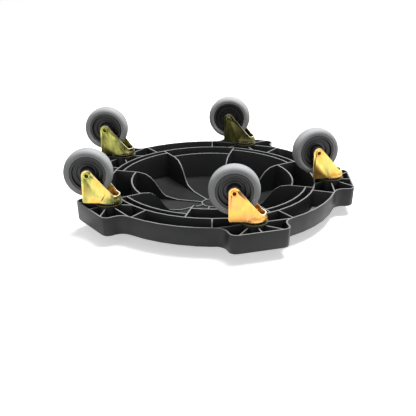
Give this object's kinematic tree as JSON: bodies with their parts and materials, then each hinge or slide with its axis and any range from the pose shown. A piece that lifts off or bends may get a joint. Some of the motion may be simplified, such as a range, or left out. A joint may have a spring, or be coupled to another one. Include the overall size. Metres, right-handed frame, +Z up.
{
  "type": "plant pot caddy",
  "caption": "Round ribbed plastic caddy deck on swivel casters with pressed yellow-zinc forks and grey rubber tyres, for rolling a heavy pot or drum.",
  "frame": {"origin": "centre of the flat load face, on the axis of the round plateau", "axes": "+Z up, out of the load face, with the wheels below; +X from the middle towards caster 1"},
  "size_m": [0.605, 0.6132, 0.182],
  "materials": {
    "deck_plastic": "semi-matt moulded black plastic with a fine spark texture",
    "hub_plastic": "semi-matt black plastic",
    "tyre_rubber": "matt grey rubber",
    "yellow_zinc": "pressed steel with an iridescent yellow zinc passivation",
    "bright_zinc": "bright zinc plated steel",
    "bearing_steel": "greased bearing steel"
  },
  "bodies": {
    "deck_body": {"deck": "deck_plastic", "upper_race_1": "yellow_zinc", "kingpin_1": "yellow_zinc", "mounting_bolt_1": "bright_zinc", "washer_1": "bright_zinc", "lock_nut_1": "bright_zinc", "upper_race_2": "yellow_zinc", "kingpin_2": "yellow_zinc", "mounting_bolt_2": "bright_zinc", "washer_2": "bright_zinc", "lock_nut_2": "bright_zinc", "upper_race_3": "yellow_zinc", "kingpin_3": "yellow_zinc", "mounting_bolt_3": "bright_zinc", "washer_3": "bright_zinc", "lock_nut_3": "bright_zinc", "upper_race_4": "yellow_zinc", "kingpin_4": "yellow_zinc", "mounting_bolt_4": "bright_zinc", "washer_4": "bright_zinc", "lock_nut_4": "bright_zinc", "upper_race_5": "yellow_zinc", "kingpin_5": "yellow_zinc", "mounting_bolt_5": "bright_zinc", "washer_5": "bright_zinc", "lock_nut_5": "bright_zinc"},
    "ball_ring_body_1": {"ball_ring_1": "bearing_steel"},
    "caster_1": {"fork_1": "yellow_zinc", "axle_tube_1": "yellow_zinc", "bearing_sleeve_1": "bright_zinc"},
    "wheel_1": {"wheel_hub_1": "hub_plastic", "tyre_1": "tyre_rubber"},
    "ball_ring_body_2": {"ball_ring_2": "bearing_steel"},
    "caster_2": {"fork_2": "yellow_zinc", "axle_tube_2": "yellow_zinc", "bearing_sleeve_2": "bright_zinc"},
    "wheel_2": {"wheel_hub_2": "hub_plastic", "tyre_2": "tyre_rubber"},
    "ball_ring_body_3": {"ball_ring_3": "bearing_steel"},
    "caster_3": {"fork_3": "yellow_zinc", "axle_tube_3": "yellow_zinc", "bearing_sleeve_3": "bright_zinc"},
    "wheel_3": {"wheel_hub_3": "hub_plastic", "tyre_3": "tyre_rubber"},
    "ball_ring_body_4": {"ball_ring_4": "bearing_steel"},
    "caster_4": {"fork_4": "yellow_zinc", "axle_tube_4": "yellow_zinc", "bearing_sleeve_4": "bright_zinc"},
    "wheel_4": {"wheel_hub_4": "hub_plastic", "tyre_4": "tyre_rubber"},
    "ball_ring_body_5": {"ball_ring_5": "bearing_steel"},
    "caster_5": {"fork_5": "yellow_zinc", "axle_tube_5": "yellow_zinc", "bearing_sleeve_5": "bright_zinc"},
    "wheel_5": {"wheel_hub_5": "hub_plastic", "tyre_5": "tyre_rubber"}
  },
  "joints": [
    {"name": "swivel_1", "type": "hinge", "parent": "deck_body", "child": "caster_1", "pos_m": [0.26, 0, -0.0717], "axis": [0, 0, 1], "continuous": true},
    {"name": "roll_1", "type": "hinge", "parent": "caster_1", "child": "wheel_1", "pos_m": [0.22313, 0.00919, -0.132], "axis": [0.2419, 0.9703, 0], "continuous": true},
    {"name": "ball_travel_1", "type": "hinge", "parent": "deck_body", "child": "ball_ring_body_1", "pos_m": [0.26, 0, -0.0717], "axis": [0, 0, 1], "continuous": true},
    {"name": "swivel_2", "type": "hinge", "parent": "deck_body", "child": "caster_2", "pos_m": [0.08034, 0.24727, -0.0717], "axis": [0, 0, 1], "continuous": true},
    {"name": "roll_2", "type": "hinge", "parent": "caster_2", "child": "wheel_2", "pos_m": [0.04235, 0.24661, -0.132], "axis": [-0.0175, 0.9998, 0], "continuous": true},
    {"name": "ball_travel_2", "type": "hinge", "parent": "deck_body", "child": "ball_ring_body_2", "pos_m": [0.08034, 0.24727, -0.0717], "axis": [0, 0, 1], "continuous": true},
    {"name": "swivel_3", "type": "hinge", "parent": "deck_body", "child": "caster_3", "pos_m": [-0.21034, 0.15282, -0.0717], "axis": [0, 0, 1], "continuous": true},
    {"name": "roll_3", "type": "hinge", "parent": "caster_3", "child": "wheel_3", "pos_m": [-0.24833, 0.15183, -0.132], "axis": [-0.0262, 0.9997, 0], "continuous": true},
    {"name": "ball_travel_3", "type": "hinge", "parent": "deck_body", "child": "ball_ring_body_3", "pos_m": [-0.21034, 0.15282, -0.0717], "axis": [0, 0, 1], "continuous": true},
    {"name": "swivel_4", "type": "hinge", "parent": "deck_body", "child": "caster_4", "pos_m": [-0.21034, -0.15282, -0.0717], "axis": [0, 0, 1], "continuous": true},
    {"name": "roll_4", "type": "hinge", "parent": "caster_4", "child": "wheel_4", "pos_m": [-0.2482, -0.15614, -0.132], "axis": [-0.0872, 0.9962, 0], "continuous": true},
    {"name": "ball_travel_4", "type": "hinge", "parent": "deck_body", "child": "ball_ring_body_4", "pos_m": [-0.21034, -0.15282, -0.0717], "axis": [0, 0, 1], "continuous": true},
    {"name": "swivel_5", "type": "hinge", "parent": "deck_body", "child": "caster_5", "pos_m": [0.08034, -0.24727, -0.0717], "axis": [0, 0, 1], "continuous": true},
    {"name": "roll_5", "type": "hinge", "parent": "caster_5", "child": "wheel_5", "pos_m": [0.04259, -0.25158, -0.132], "axis": [-0.1132, 0.9936, 0], "continuous": true},
    {"name": "ball_travel_5", "type": "hinge", "parent": "deck_body", "child": "ball_ring_body_5", "pos_m": [0.08034, -0.24727, -0.0717], "axis": [0, 0, 1], "continuous": true}
  ],
  "couplings": [
    {"joint": "ball_travel_1", "follows": "swivel_1", "ratio": 0.5},
    {"joint": "ball_travel_2", "follows": "swivel_2", "ratio": 0.5},
    {"joint": "ball_travel_3", "follows": "swivel_3", "ratio": 0.5},
    {"joint": "ball_travel_4", "follows": "swivel_4", "ratio": 0.5},
    {"joint": "ball_travel_5", "follows": "swivel_5", "ratio": 0.5}
  ]
}
